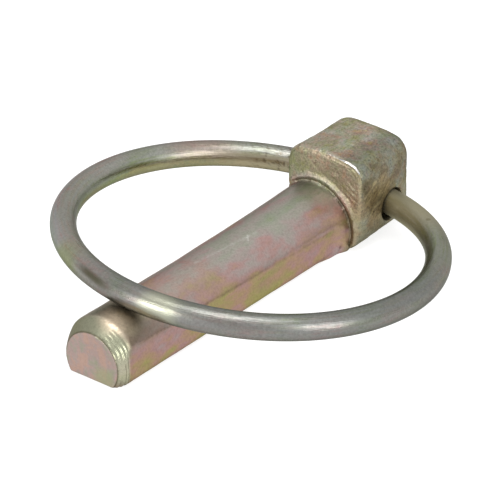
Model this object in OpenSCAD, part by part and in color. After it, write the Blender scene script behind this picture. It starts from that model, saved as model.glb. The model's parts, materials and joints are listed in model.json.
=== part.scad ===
// Lynch pin: a forged pin with a snap ring hinged in its head.
// X is the shank's axis, from the shoulder (x = 0) to the tip. Y runs across, along the ring's hole.
// Z is up, away from the flat underside. Millimetres.

/* [Shank] */
// Length from the head's front face to the end face
shank_len = 46.4; // [38:0.2:60]
// Diameter of the round back at its waist
shank_d = 10.8; // [10.4:0.1:11.8]
// Diameter of the round back at the tip
tip_d = 11.3; // [10.8:0.1:12]
// Diameter of the round back at the root
root_d = 11.5; // [10.8:0.1:12]
// Width across the trimmed sides at the tip
side_w_tip = 9.6; // [8.8:0.1:10.4]
// Width across the trimmed sides at the root
side_w_root = 10.5; // [9.6:0.1:10.7]
// Distance from the head to where the trimmed sides reach their full depth
side_run = 2.8; // [1.6:0.1:5]
// Depth of the flat underside below the axis
under_depth = 2.5; // [1.8:0.05:3.2]
// Radius of the two long lower edges
under_edge_r = 1.1; // [0.4:0.1:1.5]

/* [Tip] */
// Diameter of the end face
end_face_d = 8.5; // [7.5:0.1:9.4]
// Length of the turned chamfer
chamfer_len = 2.1; // [1.2:0.1:4]

/* [Head] */
// Length of the head along the pin
head_len = 11.3; // [10.6:0.1:14]
// Width of the head at its front face
head_w = 12.6; // [12:0.1:15]
// Width of the head at its back
head_back_w = 11.6; // [10.8:0.1:12.6]
// Height of the head above the axis at its front face
head_top = 10.7; // [9:0.1:12]
// Height of the head above the axis at its back
head_back_top = 10.5; // [8.6:0.1:12]
// Rise of the crowned top at the front face
head_crown = 0.85; // [0.3:0.05:1.2]
// Rise of the crowned top at the back
head_back_crown = 0.5; // [0.1:0.05:1]
// Sideways offset of the head from the shank's axis
head_shift = 1.3; // [0:0.1:1.5]
// Radius of the two long upper edges
head_top_edge_r = 2.6; // [1:0.1:3.2]
// Radius of the two long lower edges
head_low_edge_r = 3.2; // [1:0.1:4]
// Radius of the edges round the front face
head_lip_r = 0.6; // [0.2:0.1:0.9]
// Radius of the edges round the back
head_heel_r = 1.3; // [0.5:0.1:2]

/* [Root bead] */
// Diameter of the raised bead round the root, along its crest
bead_d = 12.9; // [12.6:0.1:13.4]
// Radius of the bead's section
bead_r = 0.45; // [0.25:0.05:0.6]
// How far the bead stands proud of the front face
bead_proud = 0.3; // [0.1:0.05:0.4]
// How far the bead stops short of the head's left side and of the underside
bead_margin = 0.9; // [0.6:0.1:1.5]

/* [Cross hole] */
// Diameter of the hole for the ring's ends
hole_d = 4.7; // [4.4:0.1:5]
// Distance of the hole behind the front face at the middle of the head
hole_back = 7.65; // [6.6:0.05:8]
// Height of the hole above the axis at the middle of the head
hole_up = 2; // [1.4:0.05:3]
// Slope of the hole, falling to the right, in degrees
hole_slope = 2; // [0:0.2:4]
// Skew of the hole, forward to the right, in degrees
hole_skew = 5; // [0:0.5:6]

/* [Ring] */
// Diameter of the wire
wire_d = 3.5; // [3:0.1:3.8]
// Diameter of the ring at the middle of its wire
ring_d = 49.1; // [46:0.1:54]
// How far the ends' line lies inside the full circle
ring_inset = 1.5; // [1.3:0.05:2.2]
// How far the ring's middle lies to the right of the head's middle, along the ends' line
ring_side = 1.85; // [1:0.05:2.2]
// How far inside the head the straight ends start to bend
end_inside = 1; // [0.8:0.1:1.6]
// Gap between the two ends inside the hole
end_gap = 1.6; // [0.6:0.1:4]
// Clearance between the closed ring and the shank
ring_clear = 0.1; // [0.05:0.05:0.4]

/* [Quality] */
// Number of sides to a full circle
sides = 96; // [48:8:160]

/* [Hidden] */
$fn = sides;

spare = 1; // how far a shape runs on past what it cuts or joins
far = 2 * shank_len; // larger than the whole part
forged_color = [0.56, 0.52, 0.42];
wire_color = [0.62, 0.61, 0.56];

// Turned form of the shank
shank_r = shank_d / 2;
tip_r = tip_d / 2;
root_r = root_d / 2;
end_face_r = end_face_d / 2;
waist_x = shank_len / 2;
rim_x = shank_len - chamfer_len;
profile_steps = 6;
trim_angle = atan((side_w_root - side_w_tip) / 2 / shank_len);
run_angle = atan((root_r - side_w_root / 2) / (side_run - bead_proud)); // of the run-out beside the head

// Head sections
lip_steps = 3;
crown_steps = 8;
edge_sides = 32;
slice = 0.01; // thickness of the slices that the head is stretched over

// Wire line in the hole, up and a little forward from the hole's middle
hole_play = (hole_d - wire_d) / 2;
seat_share = 0.75; // share of the play that the seated wire takes up
seat_angle = 70;
hinge_x = -hole_back + hole_play * seat_share * cos(seat_angle);
hinge_z = hole_up + hole_play * seat_share * sin(seat_angle);

// Ring in its own plane: the hinge line is its Y axis and the main arc's middle is at [ring_reach, ring_side]
wire_r = wire_d / 2;
ring_r = ring_d / 2;
ring_reach = ring_r - ring_inset;
end_straight = head_width(hinge_x) / 2 - end_inside;
joint_swell = 0.01; // how much a joint ball stands proud of the wire
joint_back = 0.05; // how far the stretches stop short of the middle of a ball

// Angle at which the closed ring lies on the back of the shank
crossbar_reach = ring_reach + ring_r;
crossbar_x = min(hinge_x + crossbar_reach, rim_x);
rest_height = back_r(crossbar_x) + wire_r + ring_clear;
rise_run = crossbar_reach * cos(hole_skew) + head_shift * sin(hole_skew);
rise_start = hinge_z * cos(hole_slope)
    + sin(hole_slope) * (head_shift * cos(hole_skew) - crossbar_reach * sin(hole_skew));
closed_angle = asin(rest_height / norm([rise_run, rise_start])) - atan2(rise_start, rise_run);

// Radius of the waisted round back at x
function back_r(x) = x < waist_x
    ? shank_r + (root_r - shank_r) * pow(1 - x / waist_x, 2)
    : shank_r + (tip_r - shank_r) * pow((x - waist_x) / (rim_x - waist_x), 2);

// Half outline of the turned shank, as [radius, x]
function shank_outline() = concat(
    [[0, -spare], [root_r - spare, -spare]],
    [for (i = [0:profile_steps]) let (x = waist_x * i / profile_steps) [back_r(x), x]],
    [for (i = [1:profile_steps]) let (x = waist_x + (rim_x - waist_x) * i / profile_steps) [back_r(x), x]],
    [[end_face_r, shank_len], [0, shank_len]]
);

// Width, height and crown radius of the head at x
function head_width(x) = head_w + (head_w - head_back_w) * x / head_len;
function head_height(x) = head_top + (head_top - head_back_top) * x / head_len;
function head_crown_r(x) =
    let (rise = head_crown + (head_crown - head_back_crown) * x / head_len)
    (pow(head_width(x) / 2, 2) + pow(rise, 2)) / (2 * rise);

// What the trimming takes off one side, with the rounding of the lower edge.
// It runs out on a slant before the head.
module side_cut() {
    difference() {
        translate([bead_proud, side_w_root / 2, -under_depth])
            rotate([0, 0, -trim_angle]) rotate([90, 0, 90])
                linear_extrude(height = far) {
                    translate([0, -far / 2]) square(far);
                    difference() {
                        translate([-under_edge_r, -spare]) square(under_edge_r + spare);
                        translate([-under_edge_r, under_edge_r]) circle(under_edge_r);
                    }
                }
        translate([side_run, side_w_root / 2, 0]) rotate([0, 0, -run_angle])
            translate([-far / 2, -far, -far / 2]) cube(far);
    }
}

// Everything below the flat underside
module under_cut() {
    translate([-far / 2, -far / 2, -under_depth - far]) cube(far);
}

// Round back with the turned tip, trimmed sides and flat underside
module shank() {
    difference() {
        rotate([0, 90, 0]) rotate_extrude() polygon(shank_outline());
        side_cut();
        mirror([0, 1, 0]) side_cut();
        under_cut();
    }
}

// Bead round the root, on the front face only
module bead() {
    left_end = head_shift - head_w / 2 + bead_margin;
    difference() {
        rotate([0, 90, 0]) rotate_extrude()
            translate([bead_d / 2, bead_proud - bead_r]) circle(bead_r, $fn = edge_sides);
        translate([-far / 2, left_end - far, -far / 2]) cube(far);
        translate([-far / 2, -far / 2, bead_margin - under_depth - far]) cube(far);
    }
}

// Slice of the head at x: crowned top and round long edges, drawn smaller by inset
module head_slice(x, inset = 0) {
    half_w = head_width(x) / 2;
    crown_r = head_crown_r(x);
    crown_z = head_height(x) - crown_r;
    corner_y = half_w - head_top_edge_r;
    crown_angle = asin(corner_y / (crown_r - head_top_edge_r));
    corner_z = crown_z + (crown_r - head_top_edge_r) * cos(crown_angle);
    low_z = head_low_edge_r - under_depth;
    translate([x - slice, head_shift, 0]) rotate([90, 0, 90]) linear_extrude(height = slice) {
        translate([0, crown_z]) polygon([for (i = [-crown_steps:crown_steps])
            (crown_r - inset) * [sin(crown_angle * i / crown_steps), cos(crown_angle * i / crown_steps)]]);
        for (side = [-1, 1]) {
            translate([side * corner_y, corner_z]) circle(head_top_edge_r - inset, $fn = edge_sides);
            translate([side * (half_w - head_low_edge_r), low_z])
                circle(head_low_edge_r - inset, $fn = edge_sides);
        }
    }
}

// Forged block that carries the ring
module head() {
    hull() {
        for (i = [0:lip_steps]) let (turn = 90 * i / lip_steps) {
            head_slice(head_lip_r * (sin(turn) - 1), head_lip_r * (1 - cos(turn)));
            head_slice(slice - head_len + head_heel_r * (1 - sin(turn)), head_heel_r * (1 - cos(turn)));
        }
    }
}

// Places a shape drawn along the Y axis on the hole's line or on the wire's line
module on_hinge(x, z) {
    translate([x, head_shift, z]) rotate([-hole_slope, 0, -hole_skew]) children();
}

module pin() {
    color(forged_color) difference() {
        union() {
            shank();
            bead();
            head();
        }
        on_hinge(-hole_back, hole_up) rotate([90, 0, 0]) cylinder(d = hole_d, h = 2 * head_w, center = true);
    }
}

// Curved stretch of wire from one angle to another, a little short at both ends
module wire_arc(r, from, to) {
    short = joint_back / r * 180 / PI;
    rotate([0, 0, from + short]) rotate_extrude(angle = to - from - 2 * short)
        translate([r, 0]) circle(wire_r);
}

// Ball that closes the wire where two stretches meet
module wire_joint() {
    sphere(wire_r + joint_swell);
}

// Radius and angle of the bend between a straight end and the main arc.
// along is the distance from the end of the straight to the main arc's middle, along the hinge line.
function bend_r(along) = (pow(ring_r, 2) - pow(ring_reach, 2) - pow(along, 2)) / (2 * ring_inset);
function bend_angle(along) = atan2(along, ring_reach - bend_r(along));

// One end of the wire: straight in the hole, then bent into the main arc, whose middle is at Y = middle
module wire_end(middle) {
    along = end_straight - middle;
    translate([0, end_gap / 2, 0]) rotate([-90, 0, 0])
        cylinder(r = wire_r, h = end_straight - end_gap / 2 - joint_back);
    translate([0, end_straight, 0]) wire_joint();
    translate([bend_r(along), end_straight, 0]) wire_arc(bend_r(along), 180 - bend_angle(along), 180);
    translate([ring_reach, middle, 0]) rotate([0, 0, 180 - bend_angle(along)])
        translate([ring_r, 0, 0]) wire_joint();
}

module ring() {
    color(wire_color) on_hinge(hinge_x, hinge_z) rotate([0, -closed_angle, 0]) {
        translate([ring_reach, ring_side, 0])
            wire_arc(ring_r, bend_angle(end_straight + ring_side) - 180, 180 - bend_angle(end_straight - ring_side));
        wire_end(ring_side);
        mirror([0, 1, 0]) wire_end(-ring_side);
    }
}

pin();
ring();
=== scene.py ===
import json
import math
import bpy
import bmesh
import numpy as np
from mathutils import Matrix, Vector, noise


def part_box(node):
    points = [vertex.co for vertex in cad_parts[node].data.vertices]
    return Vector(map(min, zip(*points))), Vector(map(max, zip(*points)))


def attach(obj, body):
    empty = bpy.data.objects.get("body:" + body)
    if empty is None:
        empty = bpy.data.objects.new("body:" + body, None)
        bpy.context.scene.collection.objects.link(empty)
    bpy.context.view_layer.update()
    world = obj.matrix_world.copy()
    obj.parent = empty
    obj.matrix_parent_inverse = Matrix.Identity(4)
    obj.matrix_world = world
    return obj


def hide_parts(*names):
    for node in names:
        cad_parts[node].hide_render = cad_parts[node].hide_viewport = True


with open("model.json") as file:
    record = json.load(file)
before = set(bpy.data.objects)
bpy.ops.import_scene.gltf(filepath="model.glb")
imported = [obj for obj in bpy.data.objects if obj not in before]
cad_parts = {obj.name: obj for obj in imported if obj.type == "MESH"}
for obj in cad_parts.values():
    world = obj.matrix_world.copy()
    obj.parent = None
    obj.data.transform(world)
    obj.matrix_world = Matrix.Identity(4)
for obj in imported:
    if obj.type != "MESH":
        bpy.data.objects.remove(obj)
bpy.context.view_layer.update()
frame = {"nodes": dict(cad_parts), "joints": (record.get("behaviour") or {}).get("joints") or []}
mm = 0.001  # one millimetre in scene units
hinge = frame["joints"][0]
pinLow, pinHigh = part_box("pin")
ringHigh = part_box("ring")[1]


def addNode(tree, kind, inputs=None, **fields):
    node = tree.nodes.new(kind)
    for name, value in fields.items():
        setattr(node, name, value)
    for key, value in (inputs or {}).items():
        if isinstance(value, bpy.types.NodeSocket):
            tree.links.new(value, node.inputs[key])
        else:
            node.inputs[key].default_value = value
    return node


def calc(tree, operation, a, b=0.0, c=0.0, clamp=False):
    inputs = {0: a, 1: b, 2: c}
    return addNode(tree, "ShaderNodeMath", inputs, operation=operation, use_clamp=clamp).outputs[0]


def times(tree, a, b):
    return calc(tree, "MULTIPLY", a, b)


def larger(tree, a, b):
    return calc(tree, "MAXIMUM", a, b)


def fade(tree, value, start, end):  # 0 at start, 1 at end, smooth between
    inputs = {"Value": value, "From Min": start, "From Max": end}
    return addNode(tree, "ShaderNodeMapRange", inputs, interpolation_type="SMOOTHSTEP").outputs[0]


def blendColour(tree, share, a, b, how="MIX"):
    a, b = [(*colour, 1.0) if isinstance(colour, tuple) else colour for colour in (a, b)]
    inputs = {0: share, 6: a, 7: b}
    return addNode(tree, "ShaderNodeMix", inputs, data_type="RGBA", blend_type=how).outputs[2]


def colourRamp(tree, share, stops):
    node = addNode(tree, "ShaderNodeValToRGB", {0: share})
    elements = node.color_ramp.elements
    while len(elements) < len(stops):
        elements.new(1.0)
    for element, (place, colour) in zip(elements, stops):
        element.position = place
        element.color = (*colour, 1.0)
    return node.outputs["Color"]


def speckle(tree, vector, scale, detail=3.0, rough=0.5, warp=0.0):
    inputs = {"Vector": vector, "Scale": scale, "Detail": detail, "Roughness": rough, "Distortion": warp}
    return addNode(tree, "ShaderNodeTexNoise", inputs).outputs["Fac"]


def distanceTo(tree, place, point):
    inputs = {0: place, 1: point}
    return addNode(tree, "ShaderNodeVectorMath", inputs, operation="DISTANCE").outputs["Value"]


def dotWith(tree, place, direction):
    inputs = {0: place, 1: direction}
    return addNode(tree, "ShaderNodeVectorMath", inputs, operation="DOT_PRODUCT").outputs["Value"]


def stretched(tree, place, by):
    return addNode(tree, "ShaderNodeVectorMath", {0: place, 1: by}, operation="MULTIPLY").outputs[0]


# a round patch on the piece, fading out all round
def tintSpot(tree, colour, place, spot, how="MIX"):
    middle, start, full, share, tint = spot
    near = fade(tree, distanceTo(tree, place, middle), start, full)
    return blendColour(tree, times(tree, near, share), colour, tint, how)


def newGroup(name, inputs, outputs):
    tree = bpy.data.node_groups.new(name, "ShaderNodeTree")
    kinds = {"value": "NodeSocketFloat", "vector": "NodeSocketVector", "colour": "NodeSocketColor"}
    for title, kind in inputs.items():
        tree.interface.new_socket(title, in_out="INPUT", socket_type=kinds[kind])
    for title, kind in outputs.items():
        tree.interface.new_socket(title, in_out="OUTPUT", socket_type=kinds[kind])
    return tree, addNode(tree, "NodeGroupInput").outputs


def useGroup(tree, group, inputs):
    return addNode(tree, "ShaderNodeGroup", inputs, node_tree=group).outputs


# the object's own place, in millimetres
def placeInMm(tree, move=(0.0, 0.0, 0.0)):
    place = addNode(tree, "ShaderNodeTexCoord").outputs["Object"]
    scaled = addNode(tree, "ShaderNodeVectorMath", {0: place, "Scale": 1 / mm}, operation="SCALE").outputs[0]
    return addNode(tree, "ShaderNodeVectorMath", {0: scaled, 1: move}, operation="ADD").outputs[0]


def attribute(tree, name):
    return addNode(tree, "ShaderNodeAttribute", attribute_name=name).outputs["Fac"]


bareZinc = (0.33, 0.32, 0.29)
rimShine = (0.42, 0.42, 0.40)  # of the plating where it is seen nearly edge on

# the colours that the film goes through as it thickens
filmColours = [
    (0.00, (0.310, 0.290, 0.140)),  # straw
    (0.15, (0.255, 0.303, 0.155)),  # green
    (0.34, (0.292, 0.308, 0.242)),  # grey green
    (0.46, (0.335, 0.315, 0.275)),  # grey
    (0.56, (0.365, 0.298, 0.278)),  # mauve grey
    (0.66, (0.395, 0.256, 0.236)),  # pink
    (0.76, (0.395, 0.278, 0.180)),  # peach
    (0.90, (0.340, 0.315, 0.130)),  # yellow green
]


# passivated zinc: soft patches of colour, with finer ones inside them
def buildZincFilm():
    inputs = {"Vector": "vector", "Film": "value", "Patch Scale": "value", "Patch Depth": "value",
              "Fleck Scale": "value", "Fleck Depth": "value", "Strength": "value"}
    tree, given = newGroup("zincFilm", inputs, {"Color": "colour"})
    patches = speckle(tree, given["Vector"], given["Patch Scale"], 2.5, 0.5, 0.5)
    flecks = speckle(tree, given["Vector"], given["Fleck Scale"], 2.0, 0.6)
    patches = calc(tree, "SUBTRACT", patches, 0.5)
    flecks = calc(tree, "SUBTRACT", flecks, 0.5)
    film = calc(tree, "MULTIPLY_ADD", patches, given["Patch Depth"], given["Film"])
    film = calc(tree, "MULTIPLY_ADD", flecks, given["Fleck Depth"], film, clamp=True)
    tint = colourRamp(tree, film, filmColours)
    colour = blendColour(tree, given["Strength"], bareZinc, tint)
    out = addNode(tree, "NodeGroupOutput")
    tree.links.new(colour, out.inputs["Color"])
    return tree


# fine unevenness of the plating: a height and a change of gloss
def buildGrain():
    inputs = {"Vector": "vector", "Grain Scale": "value", "Depth": "value"}
    tree, given = newGroup("platingGrain", inputs, {"Height": "value", "Gloss": "value"})
    coarse = speckle(tree, given["Vector"], given["Grain Scale"], 4.0, 0.6)
    height = times(tree, coarse, given["Depth"])
    out = addNode(tree, "NodeGroupOutput")
    tree.links.new(height, out.inputs["Height"])
    tree.links.new(calc(tree, "SUBTRACT", coarse, 0.5), out.inputs["Gloss"])
    return tree


zincFilm = buildZincFilm()
platingGrain = buildGrain()


def newPlating(name):
    material = bpy.data.materials.new(name)
    material.use_nodes = True
    tree = material.node_tree
    tree.nodes.clear()
    shader = addNode(tree, "ShaderNodeBsdfPrincipled")
    addNode(tree, "ShaderNodeOutputMaterial", {"Surface": shader.outputs[0]})
    shader.inputs["Metallic"].default_value = 1.0
    shader.inputs["Specular Tint"].default_value = (*rimShine, 1.0)
    return material, tree, shader


def smooth(start, end, value):
    share = np.clip((value - start) / (end - start), 0.0, 1.0)
    return share * share * (3 - 2 * share)


def hump(value, middle, width):
    return np.exp(-((value - middle) / width) ** 2)


def roughness(points, scale, octaves=3, shift=0.0):
    move = Vector((shift, shift * 0.7, -shift))
    return np.array([noise.fractal(Vector(p) * scale + move, 1.0, 2.1, octaves) for p in points])


cameraSettings = {
    "place": (425.70, 326.27, 308.13),  # mm
    "aim": (19.56, 4.25, 5.85),
    "roll": 0.084,  # degrees
    "viewAngle": 6.159,
}


def placeCamera(s):
    data = bpy.data.cameras.new("camera")
    camera = bpy.data.objects.new("camera", data)
    bpy.context.scene.collection.objects.link(camera)
    place = Vector(s["place"]) * mm
    look = Vector(s["aim"]) * mm - place
    turn = look.to_track_quat("-Z", "Y").to_matrix().to_4x4()
    roll = look.to_track_quat("-Z", "Y").to_matrix().col[2]
    camera.rotation_euler = turn.to_euler()
    camera.rotation_euler.rotate(Matrix.Rotation(math.radians(s["roll"]), 3, roll))
    camera.location = place
    data.angle = math.radians(s["viewAngle"])
    bpy.context.scene.camera = camera


placeCamera(cameraSettings)
print("camera placed")


forgingSettings = {
    "voxel": 0.2,  # mm, as are the sizes below
    "smoothRounds": 2,
    "headWave": 0.05,  # broad unevenness of the head
    "headRough": 0.03,
    "headPit": 0.08,
    "swell": (-11.0, -5.2, 10.6),  # a fuller corner at the back of the head
    "swellRise": 0.20,
    "sink": (-4.6, -5.9, 9.9),  # a lower place on the left top edge
    "sinkDepth": 0.16,
    "shankWave": 0.035,
    "shankRough": 0.008,
    "chamferLength": 2.1,
    "creaseRoot": 1.5,  # height of the crease along the sides at the head
    "creaseTip": 2.9,
    "endRadius": 4.25,  # of the flat end face
    "turnedWidth": 1.0,  # of the turned band, from the end face outwards
    "turnedLines": 3.2,  # tool marks across the band
    "turnedDepth": 0.12,
    "tipBulge": 0.16,  # of the side at the tip
    "dish": 0.10,  # hollow of the end face
    "facingPitch": 0.9,  # between the faint rings on the end face
    "facingDepth": 0.005,
    "dent": (1.55, 5.4, -1.6),
    "dentDepth": 0.28,
    "foot": (0.6, 5.7, -2.3),  # a lump at the bead's lower right end
    "footRise": 0.55,
    "lipRise": 0.16,
    "nickDepth": 0.05,
    "grooveRadius": 5.82,  # round the root, inside the bead
    "grooveDepth": 0.09,
    "beadRadius": 6.55,
    "beadRise": 0.13,
    "chatter": (5.8, 6.1),  # y and z of the middle of the chatter marks
    "chatterPitch": 0.72,
    "chatterDepth": 0.15,
    "streak": (14.7, 1.41, 26.1, 0.27),  # rubbed line on top of the shank, from x, y to x, y
    "scratch": (16.1, 1.1, 16.9, 1.8),
    "plating": {  # colours are linear
        "topFilm": 0.39,  # how far the film has gone through its colours on top of the shank
        "sidewaysFilm": 0.050,  # further, for each mm sideways
        "lengthFilm": 0.0038,  # and for each mm towards the tip
        "sideFilm": 0.81,  # below the crease, halfway along
        "sideThinning": 0.0002,  # less towards both ends
        "shankFilm": {"Patch Scale": 0.26, "Patch Depth": 0.66, "Fleck Scale": 0.72, "Fleck Depth": 0.46,
                      "Strength": 1.0},
        "headFilm": {"Film": 0.42, "Patch Scale": 0.36, "Patch Depth": 1.3, "Fleck Scale": 1.4,
                     "Fleck Depth": 0.9, "Strength": 1.0},
        "belowCrease": (0.86, 0.80, 0.84),
        "tipBrown": (0.215, 0.185, 0.140),
        "tipTopBrown": (0.310, 0.300, 0.225),
        "chamfer": (0.238, 0.243, 0.168),
        # painted shade along the crease
        "crease": (0.200, 0.140, 0.095),
        "rubbedAndSheen": (0.600, 0.600, 0.550),
        "goldBrown": (0.335, 0.290, 0.165),
        "frontLeft": (0.72, 0.76, 0.66),
        "frontRight": (1.14, 1.06, 1.02),
        "gold": (0.52, 0.47, 0.315),
        # painted shade for the head's lower part
        "headLowShade": (0.195, 0.180, 0.110),
        "shaded": (0.62, 0.64, 0.66),
        "turned": (0.37, 0.38, 0.27),
        # painted shade for the tip's underside
        "lowTipShade": (0.66, 0.64, 0.66),
        "wornEdge": (0.55, 0.53, 0.46),
        # the lip and the burr: rubbed plating, and partly a painted glint
        "lip": (0.32, 0.34, 0.35),
        "burrAndGlint": (0.70, 0.66, 0.61),
        # painted shade for hollows, the root groove and the end face's rim
        "recessShade": (0.085, 0.070, 0.042),
        # round patches: middle, where they start, where they are full, share and colour
        # painted light: a lighter patch on the shank's top under the ring, easing the ring's shadow
        "underRingLight": ((42.6, 1.6, 5.2), 3.6, 1.2, 1.0, (0.560, 0.460, 0.340)),
        # painted light: the root's right side lightened where it lies in shade
        "rootRightLight": ((1.2, 3.9, 4.2), 3.5, 1.0, 1.0, (1.3, 1.22, 1.22)),
        "holeStain": ((-4.6, 6.5, 4.2), 4.2, 1.8, 0.35, (0.175, 0.130, 0.065)),
        "footStain": ((0.5, 6.0, -2.4), 1.5, 0.7, 0.8, (0.235, 0.200, 0.120)),
        "endGreen": ((46.4, 2.0, -1.7), 2.3, 0.9, 0.65, (0.300, 0.305, 0.175)),
        "strokesAt": (-3.6, 6.3, 4.4),  # middle of the brush strokes, by the hole
        "strokes": [
            (0.36, (0.130, 0.095, 0.050)),
            (0.50, (0.260, 0.205, 0.115)),
            (0.64, (0.420, 0.345, 0.190)),
        ],
        "scale": [
            (0.34, (0.375, 0.385, 0.320)),
            (0.47, (0.360, 0.325, 0.225)),
            (0.56, (0.320, 0.245, 0.140)),
            (0.68, (0.200, 0.150, 0.085)),
        ],
        "endTints": [
            (0.34, (0.285, 0.275, 0.205)),
            (0.43, (0.315, 0.272, 0.230)),
            (0.50, (0.345, 0.262, 0.240)),
            (0.60, (0.390, 0.270, 0.222)),
        ],
        "grit": [
            (0.30, (0.40, 0.40, 0.40)),
            (0.46, (0.95, 0.95, 0.95)),
            (0.66, (1.35, 1.35, 1.35)),
        ],
        "roughness": 0.40,
        "bumpDistance": 0.10,
    },
}


def forgedShape(s):
    start = frame["nodes"]["pin"].data.copy()
    work = bmesh.new()
    work.from_mesh(start)
    bmesh.ops.remove_doubles(work, verts=work.verts, dist=0.002 * mm)
    work.to_mesh(start)
    work.free()
    piece = bpy.data.objects.new("pinWork", start)
    bpy.context.scene.collection.objects.link(piece)
    remesh = piece.modifiers.new("remesh", "REMESH")
    remesh.mode = "VOXEL"
    remesh.voxel_size = s["voxel"] * mm
    soften = piece.modifiers.new("soften", "SMOOTH")
    soften.factor = 0.5
    soften.iterations = s["smoothRounds"]
    graph = bpy.context.evaluated_depsgraph_get()
    mesh = bpy.data.meshes.new_from_object(piece.evaluated_get(graph))
    bpy.data.objects.remove(piece)
    return mesh


# twice as many points where the turning and the bead need them
def refine(mesh, s):
    rim = pinHigh.x / mm - s["chamferLength"]
    work = bmesh.new()
    work.from_mesh(mesh)
    chosen = set()
    for face in work.faces:
        x, y, z = face.calc_center_median() / mm
        nearTip = x > rim - 0.5
        nearBead = -0.25 < x < 0.6 and 5.2 < math.hypot(y, z) < 7.1
        nearLip = -0.9 < x < 0.3 and z > 8.5
        if nearTip or nearBead or nearLip:
            chosen.update(face.edges)
    bmesh.ops.subdivide_edges(work, edges=list(chosen), cuts=1, use_grid_fill=True)
    bmesh.ops.triangulate(work, faces=[f for f in work.faces if len(f.verts) > 4])
    atTip = [v for v in work.verts if v.co.x / mm > rim - 0.5]
    bmesh.ops.smooth_vert(work, verts=atTip, factor=0.5, use_axis_x=True, use_axis_y=True, use_axis_z=True)
    work.to_mesh(mesh)
    work.free()


def readPoints(mesh):
    points = np.empty(len(mesh.vertices) * 3)
    mesh.vertices.foreach_get("co", points)
    normals = np.empty(len(mesh.vertices) * 3)
    mesh.vertex_normals.foreach_get("vector", normals)
    return points.reshape(-1, 3) / mm, normals.reshape(-1, 3)


def writePoints(mesh, points):
    mesh.vertices.foreach_set("co", (points * mm).ravel())
    mesh.update()


def storeMask(mesh, name, values):
    layer = mesh.attributes.new(name, "FLOAT", "POINT")
    layer.data.foreach_set("value", np.clip(values, 0.0, 1.0).astype(np.float32))


def edgeEnds(mesh):
    ends = np.empty(len(mesh.edges) * 2, dtype=np.int64)
    mesh.edges.foreach_get("vertices", ends)
    a, b = ends.reshape(-1, 2).T
    size = len(mesh.vertices)
    return a, b, np.bincount(a, minlength=size) + np.bincount(b, minlength=size)


# the sum over each point's neighbours
def gathered(a, b, values):
    return np.bincount(a, values[b], len(values)) + np.bincount(b, values[a], len(values))


# pulls each point towards its neighbours, by its share
def relax(mesh, points, share, rounds):
    a, b, count = edgeEnds(mesh)
    for _ in range(rounds):
        middle = np.stack([gathered(a, b, points[:, axis]) / count for axis in range(3)], axis=1)
        points = points + 0.6 * share[:, None] * (middle - points)
    return points


# how sharply the surface turns outwards at each point
def bulge(mesh, points, normals, rounds):
    a, b, count = edgeEnds(mesh)
    step = points[b] - points[a]
    length = np.linalg.norm(step, axis=1) + 1e-9
    turn = np.bincount(a, -(normals[a] * step).sum(1) / length, len(points))
    turn += np.bincount(b, (normals[b] * step).sum(1) / length, len(points))
    turn /= count
    for _ in range(rounds):
        turn = 0.5 * turn + 0.5 * gathered(a, b, turn) / count
    return turn


def nearPoint(points, middle, width, squeeze=(1, 1, 1)):
    away = (points - np.array(middle)) * np.array(squeeze)
    return hump(np.linalg.norm(away, axis=1), 0.0, width)


# one along a line on the top of the shank, fading out beside it
def nearLine(x, y, ends, width):
    startX, startY, endX, endY = ends
    length = math.hypot(endX - startX, endY - startY)
    along = ((x - startX) * (endX - startX) + (y - startY) * (endY - startY)) / length
    beside = ((y - startY) * (endX - startX) - (x - startX) * (endY - startY)) / length
    return hump(beside, 0.0, width) * smooth(-0.3, 0.1, along) * smooth(length + 0.3, length - 0.1, along)


def creaseHeight(s, x, rim):
    return s["creaseRoot"] + (s["creaseTip"] - s["creaseRoot"]) * x / rim


# forging leaves some corners rounder than others
def roundCorners(mesh, s, rim):
    points = readPoints(mesh)[0]
    x, y, z = points.T
    rounder = smooth(9.6, 6.5, z) * hump(x, -0.4, 1.5) * smooth(5.3, 6.6, y)
    rounder = np.maximum(rounder, hump(x, -0.3, 1.3) * smooth(-3.6, -5.2, y) * smooth(7.6, 9.0, z))
    points = relax(mesh, points, rounder, 40)
    shoulder = hump(x, rim, 0.9) * smooth(4.7, 5.2, np.hypot(points[:, 1], points[:, 2]))
    points = relax(mesh, points, shoulder, 60)
    crease = hump(np.abs(y), 5.1, 0.8) * hump(z, creaseHeight(s, x, rim), 1.1)
    crease = crease * smooth(0.8, 2.5, x) * smooth(45.0, 43.5, x)
    points = relax(mesh, points, crease, 14)
    writePoints(mesh, points)


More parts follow.
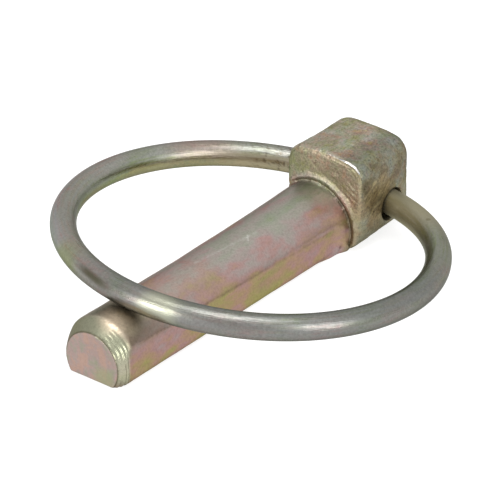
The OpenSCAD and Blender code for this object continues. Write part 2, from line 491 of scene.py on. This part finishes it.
def forgePin(s):
    mesh = forgedShape(s)
    refine(mesh, s)
    rim = pinHigh.x / mm - s["chamferLength"]
    roundCorners(mesh, s, rim)

    points, normals = readPoints(mesh)
    x, y, z = points.T
    radius = np.hypot(y, z)
    around = np.degrees(np.arctan2(y, z))  # 0 on top, 90 on the right
    head = smooth(0.7, -0.1, x)
    shank = 1 - head
    front = head * smooth(0.5, 0.9, normals[:, 0])
    endFace = smooth(0.75, 0.95, normals[:, 0]) * smooth(rim, rim + 1.0, x)
    chamfer = smooth(rim - 0.3, rim + 0.3, x) * (1 - endFace)

    wave = roughness(points, 0.28, 2)
    fine = roughness(points, 1.5, 3, 7.0)
    rise = head * (s["headWave"] * wave + s["headRough"] * fine)
    rise -= head * s["headPit"] * smooth(0.38, 0.75, roughness(points, 0.9, 2, 31.0))
    rise += s["swellRise"] * nearPoint(points, s["swell"], 3.4)
    rise -= s["sinkDepth"] * nearPoint(points, s["sink"], 2.6)
    shankRise = s["shankWave"] * roughness(points, 0.22, 2, 12.0) + s["shankRough"] * fine
    rise += shank * (1 - chamfer) * shankRise

    # the turned band round the end, clearest on the right
    wander = roughness(points * np.array([0.2, 1, 1]), 0.35, 2, 3.0)
    outwards = (pinHigh.x / mm - x) / s["chamferLength"] * 1.4 / s["turnedWidth"]
    band = chamfer * smooth(1.25, 1.0, outwards)
    band = band * smooth(20, 42, around + 12 * wander) * smooth(135, 115, around)
    mark = 0.5 - 0.5 * np.cos(2 * math.pi * (outwards * s["turnedLines"] + 0.25 * wander))
    rise -= band * s["turnedDepth"] * mark ** 0.7 * (0.8 + 0.5 * wander)
    rise += s["tipBulge"] * hump(x, rim + 0.7, 0.9) * smooth(4.2, 4.6, y) * hump(z, -0.3, 1.8)
    rise -= endFace * s["dish"] * smooth(s["endRadius"], 0.5, radius)
    rise += endFace * s["facingDepth"] * np.sin(radius * 2 * math.pi / s["facingPitch"])
    rise -= s["dentDepth"] * nearPoint(points, s["dent"], 0.42)
    rise += s["footRise"] * nearPoint(points, s["foot"], 0.8, (0.75, 1, 1))

    # a burr along the top edge of the front, and the nick under it
    nearLip = hump(x, -0.35, 0.7) * smooth(7.5, 8.6, z) * smooth(-6.0, -4.0, y)
    broad = hump(y, 5.5, 1.6)
    lip = nearLip * hump(normals[:, 0], 0.66 - 0.08 * broad, 0.13 + 0.12 * broad)
    lip = lip * (0.42 + 0.58 * broad) * smooth(8.2, 9.4, z) * smooth(-0.7, 0.1, fine + 0.7 * broad)
    rise += s["lipRise"] * lip
    nick = nearLip * hump(normals[:, 0], 0.93, 0.05) * (0.45 + 0.55 * smooth(0.0, 2.0, y))
    rise -= s["nickDepth"] * nick

    # the groove round the root, and what stands on the front face: bead and chatter marks
    groove = hump(radius, s["grooveRadius"], 0.14) * hump(x, 0.1, 0.22) * smooth(-2.4, -1.6, z)
    fromLeft = smooth(-30, 60, around)
    rise -= s["grooveDepth"] * groove * (0.4 + 0.6 * fromLeft)
    step = s["beadRise"] * hump(radius, s["beadRadius"], 0.38) * (1 + 0.5 * fine) * (0.35 + 0.65 * fromLeft)
    chatterY, chatterZ = s["chatter"]
    along = (y - chatterY) * 0.88 - (z - chatterZ) * 0.48
    across = (y - chatterY) * 0.48 + (z - chatterZ) * 0.88
    chatter = hump(along, 0.0, 1.4) * hump(across, 0.0, 1.7)
    cut = 0.5 + 0.5 * np.sin(across * 2 * math.pi / s["chatterPitch"] + 0.8 * along + 2.0 * fine)
    step -= s["chatterDepth"] * chatter * cut

    points = points + normals * rise[:, None]
    points[:, 0] += front * smooth(6.9, 6.2, y) * smooth(-5.9, -5.0, y) * step
    points[:, 2] = np.maximum(points[:, 2], pinLow.z / mm)
    writePoints(mesh, points)

    turn = bulge(mesh, *readPoints(mesh), 2)
    # where the crease's line of painted shade runs
    line = hump(z, creaseHeight(s, x, rim) + 0.15 * wave, 0.14) * smooth(3.8, 4.4, np.abs(y))
    line = line * smooth(2.5, 5.0, x) * smooth(rim, rim - 2.5, x)
    scratch = 0.5 * nearLine(x, y, s["streak"], 0.16) + nearLine(x, y, s["scratch"], 0.12)
    # partly painted highlight: a lighter band along the bead
    giltAndSheen = 0.7 * hump(radius, s["beadRadius"] - 0.1, 0.28) * smooth(-3, 2, y)
    masks = {
        "head": head,
        "front": front,
        "turned": band * smooth(140, 105, around),
        "end": endFace,
        "lip": smooth(0.1, 0.65, lip),
        "burrAndGlint": smooth(0.35, 0.85, broad),
        "edge": smooth(0.10, 0.26, turn),
        # hollow, root and endRim place painted shade: the hollows and the nick, the root groove, the end
        # face's rim
        "hollow": smooth(-0.04, -0.16, turn) + 0.8 * nick,
        "root": groove * (0.12 + 0.6 * fromLeft),
        "endRim": hump(radius, s["endRadius"] + 0.02, 0.09) * smooth(rim + 1.5, rim + 1.8, x),
        "crease": line * (0.8 + 1.2 * fine),
        "scratch": shank * smooth(4.0, 4.6, z) * scratch * (0.7 + 0.9 * fine),
        "gold": front * (0.9 * chatter * cut + giltAndSheen),
    }
    for name, values in masks.items():
        storeMask(mesh, name + "Share", values)
    for polygon in mesh.polygons:
        polygon.use_smooth = True
    return mesh, list(masks)


def shankColour(tree, place, parts, masks, s):
    # the film is thinnest on top and thickest on the trimmed sides
    drawn = stretched(tree, place, (0.5, 1.0, 1.0))
    sideways = calc(tree, "ABSOLUTE", calc(tree, "SUBTRACT", parts["Y"], 0.8))
    film = calc(tree, "MULTIPLY_ADD", sideways, s["sidewaysFilm"], s["topFilm"])
    film = calc(tree, "MULTIPLY_ADD", parts["X"], s["lengthFilm"], film)
    fromMiddle = calc(tree, "SUBTRACT", parts["X"], 20.0)
    squared = times(tree, fromMiddle, fromMiddle)
    sideFilm = calc(tree, "MULTIPLY_ADD", squared, -s["sideThinning"], s["sideFilm"])
    below = fade(tree, calc(tree, "MULTIPLY_ADD", parts["X"], -0.03, parts["Z"]), 2.0, 1.1)  # the crease
    film = calc(tree, "ADD", film, times(tree, below, calc(tree, "SUBTRACT", sideFilm, film)))
    colour = useGroup(tree, zincFilm, {"Vector": drawn, "Film": film, **s["shankFilm"]})["Color"]
    colour = blendColour(tree, times(tree, below, 0.5), colour, s["belowCrease"], "MULTIPLY")

    # brown towards the tip, partly painted shade of the ring's shadow there, and brown here and there along
    # the shank
    worn = fade(tree, speckle(tree, drawn, 0.13, 3.0, 0.5), 0.52, 0.68)
    nearTip = times(tree, fade(tree, parts["X"], 32.0, 40.0), fade(tree, parts["Z"], 1.5, 3.5))
    brownAndShade = larger(tree, times(tree, nearTip, 0.7), times(tree, worn, 0.3))
    brown = blendColour(tree, fade(tree, parts["Z"], 3.6, 5.0), s["tipBrown"], s["tipTopBrown"])
    colour = blendColour(tree, brownAndShade, colour, brown)
    chamfer = times(tree, fade(tree, parts["X"], 43.7, 44.7), fade(tree, parts["Z"], 0.5, 3.0))
    colour = blendColour(tree, times(tree, chamfer, 0.85), colour, s["chamfer"])
    # painted light on the shank's top under the ring
    colour = tintSpot(tree, colour, place, s["underRingLight"])
    # painted light at the root's right side
    colour = tintSpot(tree, colour, place, s["rootRightLight"], "MULTIPLY")
    # painted shade: a dark line along the crease between the round top and the trimmed side
    colour = blendColour(tree, times(tree, masks["crease"], 0.55), colour, s["crease"])
    return blendColour(tree, times(tree, masks["scratch"], 0.6), colour, s["rubbedAndSheen"])


def headColour(tree, place, parts, masks, s):
    film = useGroup(tree, zincFilm, {"Vector": place, **s["headFilm"]})["Color"]
    scale = colourRamp(tree, speckle(tree, place, 0.42, 5.0, 0.65), s["scale"])
    right = fade(tree, parts["Y"], 5.6, 6.6)
    scaled = calc(tree, "MULTIPLY_ADD", masks["front"], -0.2, calc(tree, "MULTIPLY_ADD", right, 0.25, 0.5))
    colour = blendColour(tree, scaled, film, scale)

    # the front is gold brown, greener on the left
    goldBrown = blendColour(tree, 0.34, colour, s["goldBrown"])
    balance = blendColour(tree, fade(tree, parts["Y"], -4.5, 1.5), s["frontLeft"], s["frontRight"])
    goldBrown = blendColour(tree, 1.0, goldBrown, balance, "MULTIPLY")
    colour = blendColour(tree, masks["front"], colour, goldBrown)
    # partly painted highlight: the bead's band and the chatter marks lightened towards gold
    colour = blendColour(tree, times(tree, masks["gold"], 0.65), colour, s["gold"])
    # painted shade: the head darker and greener towards its bottom
    low = times(tree, fade(tree, parts["Z"], 4.0, -0.5), 0.6)
    colour = blendColour(tree, low, colour, s["headLowShade"])

    # brush strokes on the right, and the side darker away from them
    along = dotWith(tree, place, (0.795, 0.0, -0.607))
    across = dotWith(tree, place, (0.607, 0.0, 0.795))
    strokePlace = addNode(tree, "ShaderNodeCombineXYZ", {0: times(tree, along, 0.3), 1: across}).outputs[0]
    strokes = colourRamp(tree, speckle(tree, strokePlace, 2.2, 3.0, 0.6), s["strokes"])
    near = fade(tree, distanceTo(tree, place, s["strokesAt"]), 4.6, 2.2)
    brushed = times(tree, near, times(tree, right, 0.75))
    colour = blendColour(tree, brushed, colour, strokes)
    shaded = times(tree, fade(tree, parts["Y"], 2.2, 5.4), fade(tree, brushed, 0.75, 0.1))
    upwards = calc(tree, "MULTIPLY_ADD", fade(tree, parts["Z"], 1.0, 6.0), 0.6, 0.4)
    shaded = times(tree, times(tree, shaded, upwards), fade(tree, masks["front"], 0.9, 0.2))
    colour = blendColour(tree, shaded, colour, s["shaded"], "MULTIPLY")
    return tintSpot(tree, colour, place, s["holeStain"])


def forgedZinc(s, maskNames):
    material, tree, shader = newPlating("forgedZinc")
    place = placeInMm(tree)
    parts = addNode(tree, "ShaderNodeSeparateXYZ", {0: place}).outputs
    masks = {name: attribute(tree, name + "Share") for name in maskNames}
    onShank = shankColour(tree, place, parts, masks, s)
    onHead = headColour(tree, place, parts, masks, s)
    colour = blendColour(tree, masks["head"], onShank, onHead)
    colour = tintSpot(tree, colour, place, s["footStain"])

    # the turned end
    colour = blendColour(tree, times(tree, masks["turned"], 0.8), colour, s["turned"])
    # painted shade: the tip darker on its underside
    lowTipShade = times(tree, fade(tree, parts["Z"], 0.0, -2.4), fade(tree, parts["X"], 44.0, 44.8))
    colour = blendColour(tree, lowTipShade, colour, s["lowTipShade"], "MULTIPLY")
    endTint = colourRamp(tree, speckle(tree, place, 0.45, 4.0, 0.65, 0.4), s["endTints"])
    endTint = tintSpot(tree, endTint, place, s["endGreen"])
    colour = blendColour(tree, masks["end"], colour, endTint)

    # worn edges, the burr, and painted shade in the hollows and the nick, the root groove and round the end
    # face's rim
    worn = times(tree, masks["edge"], calc(tree, "MULTIPLY_ADD", masks["head"], -0.16, 0.22))
    colour = blendColour(tree, worn, colour, s["wornEdge"])
    # the lip's line is rubbed plating and partly a painted glint, whitest at the burr
    bright = blendColour(tree, masks["burrAndGlint"], s["lip"], s["burrAndGlint"])
    colour = blendColour(tree, fade(tree, masks["lip"], 0.15, 0.95), colour, bright)
    recessShading = larger(tree, times(tree, masks["endRim"], 0.75), times(tree, masks["hollow"], 0.45))
    colour = blendColour(tree, larger(tree, masks["root"], recessShading), colour, s["recessShade"])

    # fine grain, lighter and darker, deepest on the head
    shade = colourRamp(tree, speckle(tree, place, 3.4, 3.0, 0.7), s["grit"])
    depth = calc(tree, "MULTIPLY_ADD", masks["head"], 0.45, 0.28)
    depth = calc(tree, "MULTIPLY_ADD", masks["end"], -0.15, depth)
    colour = blendColour(tree, depth, colour, shade, "MULTIPLY")
    tree.links.new(colour, shader.inputs["Base Color"])

    grain = useGroup(tree, platingGrain, {"Vector": place, "Grain Scale": 2.8, "Depth": 1.0})
    gloss = calc(tree, "MULTIPLY_ADD", masks["head"], 0.10, s["roughness"])
    gloss = calc(tree, "MULTIPLY_ADD", masks["turned"], -0.12, gloss)
    gloss = calc(tree, "MULTIPLY_ADD", masks["lip"], -0.22, gloss)
    gloss = calc(tree, "MULTIPLY_ADD", grain["Gloss"], 0.3, gloss, clamp=True)
    tree.links.new(gloss, shader.inputs["Roughness"])

    lines = speckle(tree, stretched(tree, place, (0.3, 2.5, 2.5)), 1.6, 3.0, 0.6)
    height = times(tree, grain["Height"], calc(tree, "MULTIPLY_ADD", masks["head"], 0.85, 0.15))
    height = calc(tree, "MULTIPLY_ADD", lines, 0.06, height)
    inputs = {"Height": height, "Strength": 0.6, "Distance": s["bumpDistance"] * mm}
    bump = addNode(tree, "ShaderNodeBump", inputs)
    tree.links.new(bump.outputs[0], shader.inputs["Normal"])
    return material


pinMesh, pinMasks = forgePin(forgingSettings)
pinPiece = bpy.data.objects.new("forgedPin", pinMesh)
bpy.context.scene.collection.objects.link(pinPiece)
pinMesh.materials.clear()
pinMesh.materials.append(forgedZinc(forgingSettings["plating"], pinMasks))
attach(pinPiece, "pin")
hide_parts("pin")
print("pin forged:", len(pinPiece.data.polygons), "faces")


wireSettings = {
    "wire": 3.5,
    "diameter": 49.1,  # at the middle of the wire
    "inset": 1.5,  # of the ends' line from the full circle
    "side": 1.85,
    "headWidth": 12.2,  # across the head at the hole
    "endInside": 1.0,
    "endGap": 1.6,
    "step": 0.25,  # between the rings of points
    "around": 56,
    "unevenness": 0.02,
    "pitDepth": 0.07,
    "plating": {  # places are from the middle of the ring
        "filmLevel": 0.36,
        "film": {"Patch Scale": 0.10, "Patch Depth": 0.9, "Fleck Scale": 0.9, "Fleck Depth": 0.35,
                 "Strength": 0.9},
        "bare": (0.335, 0.337, 0.322),
        "rightTone": (0.60, 0.615, 0.62),
        "leftTone": (0.84, 0.85, 0.82),
        # painted light for the left's outer side, the right's inner side and near the hole
        "outerLight": (0.98, 1.03, 1.08),
        "innerLight": (0.86, 0.84, 0.86),
        "holeLight": (0.86, 0.86, 0.80),
        # round patches: middle, where they start, where they are full, share and colour
        "wash": ((23.6, -12.3, 2.4), 4.2, 1.4, 0.7, (0.310, 0.330, 0.185)),
        "blush": ((-13.2, -18.6, 0.4), 6.5, 2.0, 1.0, (1.02, 0.88, 0.86)),
        # painted highlight: a pale patch where the ring shines brightest, near the tip
        "rubbedAndSheen": ((25.5, 5.0, 3.0), 3.8, 1.4, 0.75, (0.385, 0.388, 0.300)),
        "leftEnd": (-23.5, -5.9, -2.2),  # where the wire enters the head on the left
        "leftTan": (0.330, 0.275, 0.185),
        # painted reflection: a dark streak along the wire where no lamp is reflected
        "darkReflection": (25.3, -5.6, 3.6),
        "darkReflectionLine": (0.247, 0.965, -0.089),
        "darkDot": (-19.4, 14.3, -0.9),
        "dark": (0.090, 0.085, 0.055),
        "brownEnd": (0.350, 0.315, 0.210),
        "pit": (0.15, 0.125, 0.085),
        "roughness": 0.32,
        "bumpDistance": 0.07,
    },
}


def arcPoints(middle, radius, start, end, step):
    count = max(2, int(abs(end - start) * radius / step))
    angles = [start + (end - start) * i / count for i in range(count + 1)]
    return [(middle[0] + radius * math.cos(a), middle[1] + radius * math.sin(a)) for a in angles]


# the wire's line in the ring's own plane, from one end round to the other
def wireLine(s):
    radius = s["diameter"] / 2
    reach = radius - s["inset"]
    straight = s["headWidth"] / 2 - s["endInside"]

    def endBend(middle):
        along = straight - middle
        bend = (radius ** 2 - reach ** 2 - along ** 2) / (2 * s["inset"])
        return bend, math.atan2(along, reach - bend)

    rightBend, rightAngle = endBend(s["side"])
    leftBend, leftAngle = endBend(-s["side"])
    step = s["step"]
    line = [(0, s["endGap"] / 2 + (straight - s["endGap"] / 2) * i / 16) for i in range(16)]
    line += arcPoints((rightBend, straight), rightBend, math.pi, math.pi - rightAngle, step)
    line += arcPoints((reach, s["side"]), radius, math.pi - rightAngle, leftAngle - math.pi, step)[1:]
    line += arcPoints((leftBend, -straight), leftBend, leftAngle - math.pi, -math.pi, step)[1:]
    line += [(0, -straight + (straight - s["endGap"] / 2) * i / 16) for i in range(1, 17)]
    return line


def ringAxes(s):
    across = -Vector(hinge["axis"]).normalized()
    flat = across.cross(Vector((0, 0, 1))).normalized()
    up = flat.cross(across)
    radius = s["diameter"] / 2
    start = Vector(hinge["pos_m"])
    top = ringHigh.z - s["wire"] / 2 * mm
    low, high = 0.0, math.radians(20)
    for _ in range(40):  # the tilt at which the wire is as high as the frame's ring
        tilt = (low + high) / 2
        slope = (flat * math.cos(tilt) + up * math.sin(tilt)).z
        middle = (radius - s["inset"]) * slope + s["side"] * across.z
        reached = start.z + (middle + radius * math.hypot(slope, across.z)) * mm
        low, high = (tilt, high) if reached < top else (low, tilt)
    return start, flat * math.cos(tilt) + up * math.sin(tilt), across


def storeNamed(tree, geometry, name, value, kind="FLOAT"):
    inputs = {"Geometry": geometry, "Name": name, "Value": value}
    return addNode(tree, "GeometryNodeStoreNamedAttribute", inputs, data_type=kind, domain="POINT").outputs[0]


def bentWireTree():
    tree = bpy.data.node_groups.new("bentWire", "GeometryNodeTree")
    sockets = {
        "Geometry": "NodeSocketGeometry",
        "Wire Radius": "NodeSocketFloat",
        "Points Around": "NodeSocketInt",
        "Unevenness": "NodeSocketFloat",
        "Pit Depth": "NodeSocketFloat",
        "Pitted To": "NodeSocketVector",
        "Material": "NodeSocketMaterial",
    }
    tree.interface.new_socket("Geometry", in_out="OUTPUT", socket_type="NodeSocketGeometry")
    for title, kind in sockets.items():
        tree.interface.new_socket(title, in_out="INPUT", socket_type=kind)
    given = addNode(tree, "NodeGroupInput").outputs
    line = addNode(tree, "GeometryNodeMeshToCurve", {"Mesh": given["Geometry"]}).outputs[0]
    length = addNode(tree, "GeometryNodeSplineParameter").outputs["Length"]
    line = storeNamed(tree, line, "wireAlong", length)
    inputs = {"Resolution": given["Points Around"], "Radius": given["Wire Radius"]}
    circle = addNode(tree, "GeometryNodeCurvePrimitiveCircle", inputs).outputs["Curve"]
    side = addNode(tree, "GeometryNodeInputPosition").outputs[0]
    circle = storeNamed(tree, circle, "wireSide", side, "FLOAT_VECTOR")
    inputs = {"Curve": line, "Profile Curve": circle, "Fill Caps": True}
    tube = addNode(tree, "GeometryNodeCurveToMesh", inputs).outputs[0]

    # slightly uneven all round, and pitted towards the left end
    place = addNode(tree, "GeometryNodeInputPosition").outputs[0]
    normal = addNode(tree, "GeometryNodeInputNormal").outputs[0]
    scaled = addNode(tree, "ShaderNodeVectorMath", {0: place, "Scale": 1 / mm}, operation="SCALE").outputs[0]
    wave = calc(tree, "SUBTRACT", speckle(tree, scaled, 0.16, 2.0), 0.5)
    rise = times(tree, wave, given["Unevenness"])
    spots = speckle(tree, scaled, 2.1, 2.0, 0.6)
    worn = fade(tree, distanceTo(tree, place, given["Pitted To"]), 13 * mm, 3 * mm)
    pits = times(tree, fade(tree, spots, 0.57, 0.64), worn)
    rise = calc(tree, "SUBTRACT", rise, times(tree, pits, given["Pit Depth"]))
    offset = addNode(tree, "ShaderNodeVectorMath", {0: normal, "Scale": rise}, operation="SCALE").outputs[0]
    tube = storeNamed(tree, tube, "pitShare", pits)
    tube = addNode(tree, "GeometryNodeSetPosition", {"Geometry": tube, "Offset": offset}).outputs[0]
    tube = addNode(tree, "GeometryNodeRealizeInstances", {"Geometry": tube}).outputs[0]
    tube = addNode(tree, "GeometryNodeSetShadeSmooth", {"Geometry": tube}).outputs[0]
    inputs = {"Geometry": tube, "Material": given["Material"]}
    tube = addNode(tree, "GeometryNodeSetMaterial", inputs).outputs[0]
    out = addNode(tree, "NodeGroupOutput")
    tree.links.new(tube, out.inputs[0])
    return tree


def bendRing(s, material):
    start, reach, across = ringAxes(s)
    line = [start + (reach * u + across * v) * mm for u, v in wireLine(s)]
    path = bpy.data.meshes.new("wirePath")
    path.from_pydata(line, [(i, i + 1) for i in range(len(line) - 1)], [])
    piece = bpy.data.objects.new("wirePath", path)
    bpy.context.scene.collection.objects.link(piece)
    bend = piece.modifiers.new("bentWire", "NODES")
    bend.node_group = bentWireTree()
    values = {
        "Wire Radius": s["wire"] / 2 * mm,
        "Points Around": s["around"],
        "Unevenness": s["unevenness"] * mm,
        "Pit Depth": s["pitDepth"] * mm,
        "Pitted To": tuple(start - across * 9 * mm),
        "Material": material,
    }
    for item in bend.node_group.interface.items_tree:
        if item.in_out == "INPUT" and item.name in values:
            bend[item.identifier] = values[item.name]
    graph = bpy.context.evaluated_depsgraph_get()
    mesh = bpy.data.meshes.new_from_object(piece.evaluated_get(graph))
    piece.modifiers.remove(bend)
    bpy.data.objects.remove(piece)
    return mesh


# a painted dark reflection along the wire, and a dark dot
def darkReflectionAndDot(tree, place, s):
    inputs = {0: place, 1: s["darkReflection"]}
    fromDarkReflection = addNode(tree, "ShaderNodeVectorMath", inputs, operation="SUBTRACT").outputs[0]
    run = calc(tree, "ABSOLUTE", dotWith(tree, fromDarkReflection, s["darkReflectionLine"]))
    away = distanceTo(tree, place, s["darkReflection"])
    squared = calc(tree, "SUBTRACT", times(tree, away, away), times(tree, run, run))
    beside = calc(tree, "SQRT", squared)
    darkReflection = times(tree, fade(tree, beside, 0.85, 0.1), fade(tree, run, 4.8, 0.8))
    dot = fade(tree, distanceTo(tree, place, s["darkDot"]), 0.42, 0.22)
    return larger(tree, times(tree, darkReflection, 0.9), dot)


def wireZinc(s):
    material, tree, shader = newPlating("wireZinc")
    look = s["plating"]
    start, reach, across = ringAxes(s)
    middle = (start + (reach * (s["diameter"] / 2 - s["inset"]) + across * s["side"]) * mm) / mm
    place = placeInMm(tree, tuple(-middle))
    along = attribute(tree, "wireAlong")
    pits = attribute(tree, "pitShare")
    flat = stretched(tree, place, (1.0, 1.0, 0.0))
    reachOut = addNode(tree, "ShaderNodeVectorMath", {0: flat}, operation="LENGTH").outputs["Value"]
    outside = calc(tree, "MULTIPLY_ADD", reachOut, 1 / s["wire"], -s["diameter"] / 2 / s["wire"])

    # drawing marks: streaks and hairlines that run along the wire
    side = addNode(tree, "ShaderNodeAttribute", attribute_name="wireSide").outputs["Vector"]
    side = stretched(tree, side, (1 / mm, 1 / mm, 1 / mm))
    side = addNode(tree, "ShaderNodeSeparateXYZ", {0: side}).outputs
    inputs = {0: times(tree, along, 0.07 / mm), 1: side["X"], 2: side["Y"]}
    drawn = addNode(tree, "ShaderNodeCombineXYZ", inputs).outputs[0]
    streaks = speckle(tree, drawn, 2.6, 4.0, 0.6)
    hairlines = speckle(tree, drawn, 9.0, 1.0, 0.5)

    # on the left greener below and pinker on top, elsewhere nearly grey
    sideways = addNode(tree, "ShaderNodeSeparateXYZ", {0: place}).outputs["Y"]
    left = fade(tree, sideways, 0.0, -15.0)
    height = dotWith(tree, place, tuple(reach.cross(across)))
    green = times(tree, left, fade(tree, height, 0.7, -0.3))
    pink = times(tree, left, fade(tree, height, 0.6, 1.4))
    film = calc(tree, "MULTIPLY_ADD", outside, 0.2, look["filmLevel"])
    film = calc(tree, "MULTIPLY_ADD", green, -0.23, calc(tree, "MULTIPLY_ADD", pink, 0.13, film))
    colour = useGroup(tree, zincFilm, {"Vector": place, "Film": film, **look["film"]})["Color"]
    bare = calc(tree, "MULTIPLY_ADD", green, -0.5, 0.72)
    colour = blendColour(tree, times(tree, fade(tree, streaks, 0.36, 0.62), bare), colour, look["bare"])
    colour = tintSpot(tree, colour, place, look["wash"])

    # lighter on the left; painted light on the left's outer side, on the right's inner side and near the hole
    tone = blendColour(tree, left, look["rightTone"], look["leftTone"])
    outer = times(tree, fade(tree, sideways, -10.0, -18.0), fade(tree, outside, 0.02, 0.30))
    tone = blendColour(tree, outer, tone, look["outerLight"])
    inner = times(tree, calc(tree, "SUBTRACT", 1.0, left), fade(tree, outside, -0.20, -0.46))
    tone = blendColour(tree, inner, tone, look["innerLight"])
    nearHole = times(tree, fade(tree, along, 34 * mm, 22 * mm), 0.8)
    tone = blendColour(tree, nearHole, tone, look["holeLight"])
    colour = blendColour(tree, 1.0, colour, tone, "MULTIPLY")
    grit = calc(tree, "MULTIPLY_ADD", speckle(tree, place, 3.0, 3.0, 0.7), 0.9, 0.55)
    colour = blendColour(tree, 1.0, colour, grit, "MULTIPLY")
    colour = tintSpot(tree, colour, place, look["blush"], "MULTIPLY")
    # painted highlight: a pale patch on the ring
    colour = tintSpot(tree, colour, place, look["rubbedAndSheen"])
    nearLeft = fade(tree, distanceTo(tree, place, look["leftEnd"]), 19.0, 10.0)
    leftTan = times(tree, nearLeft, fade(tree, height, 1.3, 0.7))
    colour = blendColour(tree, times(tree, leftTan, 0.65), colour, look["leftTan"])

    # the painted dark reflection and the dot, the brown right end and the pits
    colour = blendColour(tree, darkReflectionAndDot(tree, place, look), colour, look["dark"])
    # the right end's own brown, partly painted light: lighter where the head's dark reflection falls
    ends = times(tree, fade(tree, along, 20 * mm, 11 * mm), 0.75)
    colour = blendColour(tree, ends, colour, look["brownEnd"])
    colour = blendColour(tree, pits, colour, look["pit"])
    tree.links.new(colour, shader.inputs["Base Color"])

    gloss = calc(tree, "MULTIPLY_ADD", calc(tree, "SUBTRACT", streaks, 0.5), 0.35, look["roughness"])
    gloss = calc(tree, "MULTIPLY_ADD", ends, 0.25, gloss, clamp=True)
    tree.links.new(gloss, shader.inputs["Roughness"])
    grain = useGroup(tree, platingGrain, {"Vector": place, "Grain Scale": 1.6, "Depth": 0.4})
    rough = calc(tree, "MULTIPLY_ADD", streaks, 0.5, grain["Height"])
    rough = calc(tree, "MULTIPLY_ADD", hairlines, 0.8, rough)
    inputs = {"Height": rough, "Strength": 0.5, "Distance": look["bumpDistance"] * mm}
    bump = addNode(tree, "ShaderNodeBump", inputs)
    tree.links.new(bump.outputs[0], shader.inputs["Normal"])
    return material


ringMesh = bendRing(wireSettings, wireZinc(wireSettings))
ringPiece = bpy.data.objects.new("snapRing", ringMesh)
bpy.context.scene.collection.objects.link(ringPiece)
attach(ringPiece, "ring")
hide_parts("ring")
print("ring bent:", len(ringPiece.data.polygons), "faces")


studioSettings = {
    "floorSize": 6.0,  # metres
    "floorGlow": 0.80,  # the part of the floor's white that no shadow dims
    "floorColour": 0.35,
    "skyOnObject": 0.8,
    "lamps": {
        "overhead": {"place": (0.06, 0.06, 0.80), "size": (0.46, 0.44), "power": 2.7},
        "right": {"place": (0.10, 0.78, 0.34), "size": (0.32, 0.50), "power": 2.6},
        "lowFront": {"place": (0.84, -0.20, 0.28), "size": (0.34, 0.58), "power": 3.1},
    },
}


# one where the camera, a reflection or a view through glass looks, zero for soft light
def seenShare(tree):
    path = addNode(tree, "ShaderNodeLightPath").outputs
    seen = larger(tree, path["Is Camera Ray"], path["Is Glossy Ray"])
    return larger(tree, seen, path["Is Transmission Ray"])


def buildStudio(s):
    world = bpy.data.worlds.new("studio")
    bpy.context.scene.world = world
    world.use_nodes = True
    tree = world.node_tree
    tree.nodes.clear()
    level = calc(tree, "MULTIPLY_ADD", seenShare(tree), 1.0 - s["skyOnObject"], s["skyOnObject"])
    sky = addNode(tree, "ShaderNodeBackground", {"Color": (1, 1, 1, 1), "Strength": level})
    addNode(tree, "ShaderNodeOutputWorld", {"Surface": sky.outputs[0]})

    half = s["floorSize"] / 2
    corners = [(-half, -half), (half, -half), (half, half), (-half, half)]
    mesh = bpy.data.meshes.new("floor")
    mesh.from_pydata([(x, y, pinLow.z) for x, y in corners], [], [(0, 1, 2, 3)])
    floor = bpy.data.objects.new("floor", mesh)
    bpy.context.scene.collection.objects.link(floor)
    material = bpy.data.materials.new("paleFloor")
    material.use_nodes = True
    tree = material.node_tree
    tree.nodes.clear()
    shade = s["floorColour"]
    plain = addNode(tree, "ShaderNodeBsdfDiffuse", {"Color": (shade, shade, shade, 1)})
    glow = times(tree, seenShare(tree), s["floorGlow"])
    white = addNode(tree, "ShaderNodeEmission", {"Color": (1, 1, 1, 1), "Strength": glow})
    both = addNode(tree, "ShaderNodeAddShader", {0: plain.outputs[0], 1: white.outputs[0]})
    addNode(tree, "ShaderNodeOutputMaterial", {"Surface": both.outputs[0]})
    mesh.materials.append(material)

    for name, lamp in s["lamps"].items():
        data = bpy.data.lights.new(name, "AREA")
        data.shape = "RECTANGLE"
        data.size, data.size_y = lamp["size"]
        data.energy = lamp["power"]
        light = bpy.data.objects.new(name, data)
        light.location = lamp["place"]
        aim = Vector((0.017, 0.0, 0.0)) - light.location
        light.rotation_euler = aim.to_track_quat("-Z", "Y").to_euler()
        bpy.context.scene.collection.objects.link(light)


buildStudio(studioSettings)
bpy.context.scene.view_settings.view_transform = "Standard"
print("studio lit")
